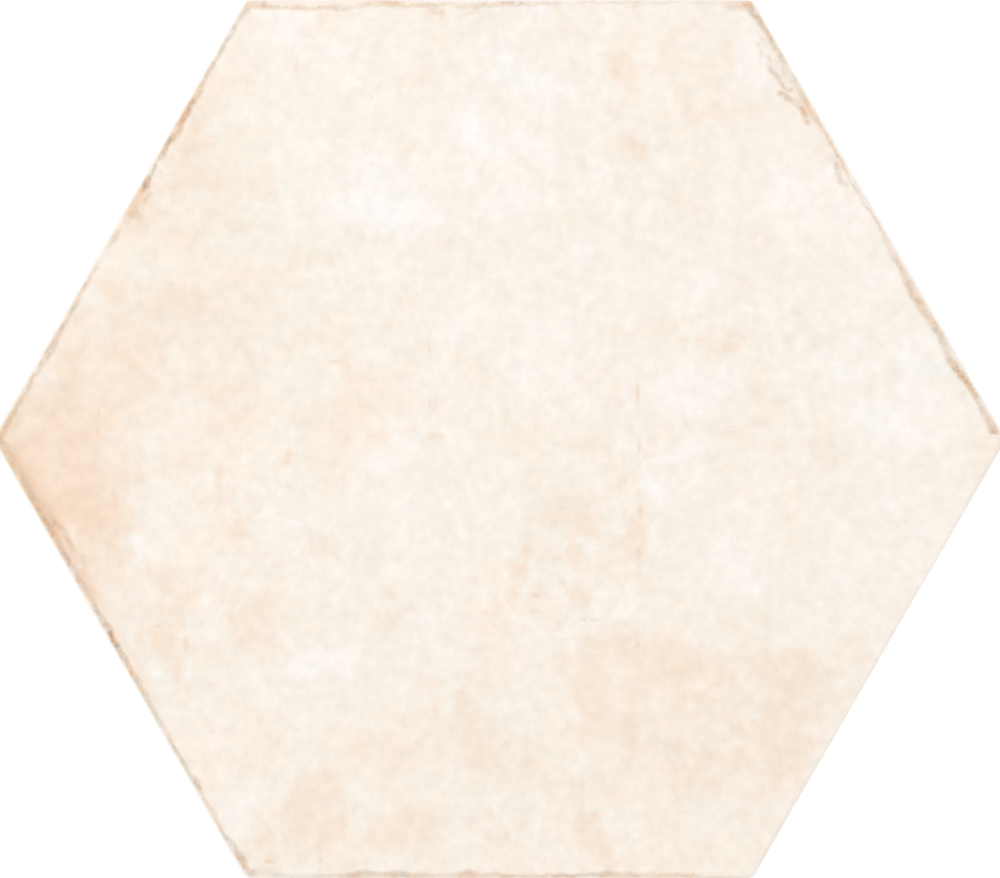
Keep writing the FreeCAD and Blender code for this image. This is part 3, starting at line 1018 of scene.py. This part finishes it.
LIGHTEST, DARKEST = -2.0, 10.0      # the tones at the two ends of the ramps


def tones(pairs):
    """Ramp stops from pairs of a tone and a colour."""
    return [((tone - LIGHTEST) / (DARKEST - LIGHTEST), linear(*colour)) for tone, colour in pairs]


GROUND = [
    (-2.0, (254, 251, 248)),
    (-1.2, (253, 247, 241)),
    (-0.7, (252, 245, 237)),
    (0.0, (249, 241, 230)),
    (0.9, (249, 235, 220)),
    (1.4, (248, 232, 215)),
    (2.1, (247, 228, 208)),
    (2.8, (246, 223, 202)),
    (3.9, (242, 215, 190)),
    (5.2, (234, 202, 171)),
    (7.5, (211, 174, 140)),
    (10.0, (180, 140, 106)),
]
# The glaze's noises: the lengths of their waves, and how much narrower a fleck or stroke is than it is long
GRAIN_LENGTH = 2.8
BLOTCH_LENGTH = 4.6
CRUMB_LENGTH = 1.1
FLECK_WIDTH, FLECK_SQUEEZE = 2.5, 0.75
STROKE_WIDTH, STROKE_SQUEEZE = 1.7, 0.25
BLOTCH_PLACE = (370.0, 910.0, 0.0)  # keeps the blotches from following the grain

# The worn line
RAGGED_BY_GRAIN, RAGGED_BY_BLOTCH, RAGGED_BY_CRUMBS = 0.55, 0.6, 0.2
OUTER_FADE = 0.8        # how fast the line fades towards the joint face, beside how fast it fades inwards
FULL_LINE = 11.0        # the line's strength that hides all of the glaze
GREY_LINE = (168, 143, 122)
ORANGE_LINE = (206, 146, 83)
# Tone of the lip: painted light that cancels the shade on the slanting sides' sloping worn edge
PAINTED_LIP_TONE = -0.8

# What each of these adds to the face's tone at its strongest
MARK_TONE_SHARE = 0.55
# The flecks are painted highlights and painted shade of the face's pits
PAINTED_FLECK_HIGHLIGHT_TONE = -0.6
PAINTED_FLECK_SHADE_TONE = 0.65
STROKE_TONE = 0.5
BLOTCH_TONE = 0.27
MARK_BROWN_SHARE = 0.5  # of a mark's tone that wears through the glaze

# How far the face's lightness and warmth stray with the noises
GRAIN_SHADE, BLOTCH_SHADE = 0.06, -0.03
STROKE_WARMTH = 0.006
BLUE_SHARE = 0.3        # of the warmth, taken from the blue

GLAZE_BUMP = 0.05 * MM
GLAZE_GLOSS = 0.12
GLAZE_ROUGHNESS = (0.56, 0.74)
WORN_ROUGHNESS = 0.15   # added where the glaze has gone


def worn_brown(shader, inset, marks, grain, blotch, crumbs):
    """How strongly the brown shows along the worn line, its glow inside it, and how orange the brown is."""
    line_inset, line_half, line_tone = shader.attribute("line")
    glow_reach, glow_tone, orange = shader.attribute("glow")
    ragged_inset = shader.add(
        inset,
        shader.about_zero(grain, RAGGED_BY_GRAIN),
        shader.about_zero(blotch, RAGGED_BY_BLOTCH),
        shader.about_zero(crumbs, RAGGED_BY_CRUMBS),
    )
    inside = shader.math("SUBTRACT", ragged_inset, line_inset)
    from_line = shader.math("MAXIMUM", inside, shader.times(inside, -OUTER_FADE))
    line = shader.between(shader.math("DIVIDE", from_line, line_half), 0.2, 1.5, 1.0, 0.0)
    clumps = shader.between(blotch, 0.38, 0.62, 0.75, 1.25)
    beads = shader.between(crumbs, 0.32, 0.66, 0.8, 1.22)
    line = shader.times(line, line_tone, clumps, beads)
    glow = shader.between(shader.math("DIVIDE", ragged_inset, glow_reach), 0.45, 1.1, 1.0, 0.0)
    glow = shader.times(glow, glow_tone, shader.between(grain, 0.3, 0.7, 0.6, 1.3))
    stray = shader.add(shader.about_zero(grain, 1.6), shader.about_zero(crumbs, -0.4))
    return shader.math("MAXIMUM", line, marks), glow, shader.math("ADD", orange, stray, clamp=True)


def glaze():
    """The cream glaze, with peach and whitish patches, worn through to tan and brown along its edge."""
    shader = Shader("glaze")
    place = shader.millimetres()
    tone, mark_and_highlight, upright_share = shader.attribute("ground")
    inset, painted_lip, rim = shader.attribute("edge")
    shade, broad_warmth, flecked_here = shader.attribute("tint")

    grain = shader.noise(place, GRAIN_LENGTH, 2.0, 0.5)
    blotch = shader.noise(shader.vector("ADD", place, BLOTCH_PLACE), BLOTCH_LENGTH, 2.0, 0.52)
    crumbs = shader.noise(place, CRUMB_LENGTH, 1.0, 0.6)
    fleck = shader.squeezed_noise(place, (1.0, FLECK_SQUEEZE, 1.0), FLECK_WIDTH)
    upright = shader.squeezed_noise(place, (1.0, STROKE_SQUEEZE, 1.0), STROKE_WIDTH)
    level = shader.squeezed_noise(place, (STROKE_SQUEEZE, 1.0, 1.0), STROKE_WIDTH)
    strokes = shader.add(shader.times(upright, upright_share), shader.times(level, shader.rest(upright_share)))

    broken_rim = shader.times(rim, shader.between(grain, 0.35, 0.6, 0.3, 1.2))
    broken_mark_and_highlight = shader.times(mark_and_highlight, shader.between(grain, 0.42, 0.6, 0.1, 1.0))
    marks = shader.math("MAXIMUM", broken_rim, shader.times(broken_mark_and_highlight, MARK_BROWN_SHARE))
    brown, glow, hue = worn_brown(shader, inset, marks, grain, blotch, crumbs)
    # The painted pale lip also hides the worn line at the very edge
    cover = shader.math("MINIMUM", shader.times(brown, painted_lip, 1 / FULL_LINE), 1.0)

    # Pale flecks are painted highlights of the pits, and dark flecks are painted shade of them
    painted_fleck_highlight = shader.times(shader.between(fleck, 0.56, 0.72), shader.math("MINIMUM", flecked_here, 1.0))
    painted_fleck_shade = shader.times(shader.between(fleck, 0.44, 0.3), flecked_here, shader.between(blotch, 0.4, 0.6))
    tone = shader.add(
        tone,
        # the marks' tone, with the painted highlights on the flakes' facets
        shader.times(broken_mark_and_highlight, MARK_TONE_SHARE),
        glow,
        shader.times(painted_fleck_highlight, PAINTED_FLECK_HIGHLIGHT_TONE),
        shader.times(painted_fleck_shade, PAINTED_FLECK_SHADE_TONE),
        shader.between(strokes, 0.66, 0.82, 0.0, STROKE_TONE),
        shader.between(strokes, 0.34, 0.18, 0.0, -STROKE_TONE),
        shader.about_zero(blotch, BLOTCH_TONE),
    )
    # The lip is painted pale, which cancels the shade on the slanting sides' sloping worn edge
    tone = shader.add(shader.times(tone, painted_lip), shader.times(shader.rest(painted_lip), PAINTED_LIP_TONE))
    colour = shader.ramp(shader.times(shader.add(tone, -LIGHTEST), 1 / (DARKEST - LIGHTEST)), tones(GROUND))
    colour = shader.mix(cover, colour, shader.mix(hue, linear(*GREY_LINE), linear(*ORANGE_LINE)))

    lightness = shader.add(
        1.0, shade, shader.about_zero(grain, GRAIN_SHADE), shader.about_zero(blotch, BLOTCH_SHADE)
    )
    warmth = shader.add(broad_warmth, shader.about_zero(level, STROKE_WARMTH))
    tint = shader.node("ShaderNodeCombineXYZ", {
        "X": shader.add(lightness, warmth),
        "Y": lightness,
        "Z": shader.math("SUBTRACT", lightness, shader.times(warmth, BLUE_SHARE)),
    }).outputs["Vector"]
    rough = shader.between(grain, 0.25, 0.75, *GLAZE_ROUGHNESS)
    return shader.finish({
        "Base Color": shader.vector("MULTIPLY", colour, tint),
        "Roughness": shader.add(rough, shader.times(cover, WORN_ROUGHNESS)),
        "Specular IOR Level": GLAZE_GLOSS,
        "Normal": shader.bump(crumbs, 0.25, GLAZE_BUMP),
    })


PALE_BODY, DARK_BODY = (228, 203, 174), (210, 181, 149)
SPECK_COLOUR, SPECK_SHARE = (150, 116, 88), 0.5
DUST_COLOUR, DUST_SHARE = (240, 232, 222), 0.6
CLOUD_LENGTH, SPECK_LENGTH, DUST_LENGTH, BODY_GRAIN_LENGTH = 12.0, 0.7, 5.0, 0.8
DUST_TOP, DUST_FULL = 0.25, 0.05        # heights over the floor between which the dusting begins
BODY_BUMP = 0.1 * MM
BODY_GLOSS = 0.3
BODY_ROUGHNESS = 0.85


def fired_body():
    """The fired body of the joint faces and the back, with iron specks and a dusting on its crests."""
    shader = Shader("fired_body")
    place = shader.millimetres()
    cloud = shader.noise(place, CLOUD_LENGTH, 4.0, 0.6, "3D")
    colour = shader.mix(cloud, linear(*PALE_BODY), linear(*DARK_BODY))
    specks = shader.between(shader.noise(place, SPECK_LENGTH, 1.0, 0.5, "3D"), 0.66, 0.74)
    colour = shader.mix(shader.times(specks, SPECK_SHARE), colour, linear(*SPECK_COLOUR))
    height = shader.node("ShaderNodeSeparateXYZ", {"Vector": place}).outputs["Z"]
    dusting = shader.between(shader.noise(place, DUST_LENGTH, 3.0, 0.7, "3D"), 0.4, 0.7)
    dust = shader.times(shader.between(height, DUST_TOP, DUST_FULL), dusting)
    colour = shader.mix(shader.times(dust, DUST_SHARE), colour, linear(*DUST_COLOUR))
    relief = shader.noise(place, BODY_GRAIN_LENGTH, 2.0, 0.6, "3D")
    return shader.finish({
        "Base Color": colour,
        "Roughness": BODY_ROUGHNESS,
        "Specular IOR Level": BODY_GLOSS,
        "Normal": shader.bump(relief, 0.5, BODY_BUMP),
    })


# The floor and the light

FLOOR_REACH = 6.0
FLOOR_DROP = 0.02 * MM      # keeps the floor clear of the tile's back
FLOOR_GREY = (0.9, 0.9, 0.9, 1.0)
FLOOR_GLOW = 1.03
FLOOR_WHITENESS = 0.94      # share of the floor's look that no shadow dims
SKY_LIGHT = 0.53            # what the sky gives the tile, beside the white that it shows
WHITE = (1.0, 1.0, 1.0, 1.0)

# The lamps: name, place in metres, size and power
LAMPS = [
    ("key_lamp", (-1.1, 1.0, 1.5), 1.2, 20.1),
    ("fill_lamp", (1.3, -0.9, 1.4), 1.5, 13.6),
]


def seen_rays(shader):
    """1 for rays that show the background itself, in the camera, in gloss or through glass."""
    rays = shader.node("ShaderNodeLightPath")
    names = ("Is Camera Ray", "Is Glossy Ray", "Is Transmission Ray")
    return shader.math("MINIMUM", shader.add(*(rays.outputs[name] for name in names)), 1.0)


def add_floor():
    """A wide white floor that keeps a soft share of the tile's shadow."""
    data = bpy.data.meshes.new("floor")
    signs = [(-1, -1), (1, -1), (1, 1), (-1, 1)]
    data.from_pydata([(x * FLOOR_REACH, y * FLOOR_REACH, -FLOOR_DROP) for x, y in signs], [], [(0, 1, 2, 3)])
    floor = bpy.data.objects.new("floor", data)
    bpy.context.scene.collection.objects.link(floor)
    shader = Shader("floor")
    diffuse = shader.node("ShaderNodeBsdfDiffuse", {"Color": FLOOR_GREY})
    glow = shader.node("ShaderNodeEmission", {"Color": WHITE, "Strength": FLOOR_GLOW})
    mixed = shader.node("ShaderNodeMixShader", {0: shader.times(seen_rays(shader), FLOOR_WHITENESS)})
    shader.tree.links.new(diffuse.outputs[0], mixed.inputs[1])
    shader.tree.links.new(glow.outputs[0], mixed.inputs[2])
    output = shader.node("ShaderNodeOutputMaterial")
    shader.tree.links.new(mixed.outputs[0], output.inputs["Surface"])
    data.materials.append(shader.material)


class WorldShader(Shader):
    """The same short ways for the world's nodes."""

    def __init__(self, world):
        world.use_nodes = True
        self.tree = world.node_tree
        self.tree.nodes.clear()


def add_sky():
    """A white background that lights the tile evenly from all round."""
    world = bpy.data.worlds.new("studio")
    bpy.context.scene.world = world
    shader = WorldShader(world)
    strength = shader.add(SKY_LIGHT, shader.times(seen_rays(shader), 1.0 - SKY_LIGHT))
    sky = shader.node("ShaderNodeBackground", {"Color": WHITE, "Strength": strength})
    output = shader.node("ShaderNodeOutputWorld")
    shader.tree.links.new(sky.outputs[0], output.inputs["Surface"])


def add_lamp(name, place, size, power):
    """A soft square lamp that points at the tile."""
    data = bpy.data.lights.new(name, "AREA")
    data.size, data.energy = size, power
    lamp = bpy.data.objects.new(name, data)
    lamp.location = place
    lamp.rotation_euler = (-Vector(place)).to_track_quat("-Z", "Y").to_euler()
    bpy.context.scene.collection.objects.link(lamp)


def main():
    """Builds the whole scene."""
    add_camera()
    tile = make_tile()
    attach(tile, "root")
    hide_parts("tile")
    add_floor()
    add_sky()
    for lamp in LAMPS:
        add_lamp(*lamp)
    bpy.context.scene.view_settings.view_transform = "Standard"


main()
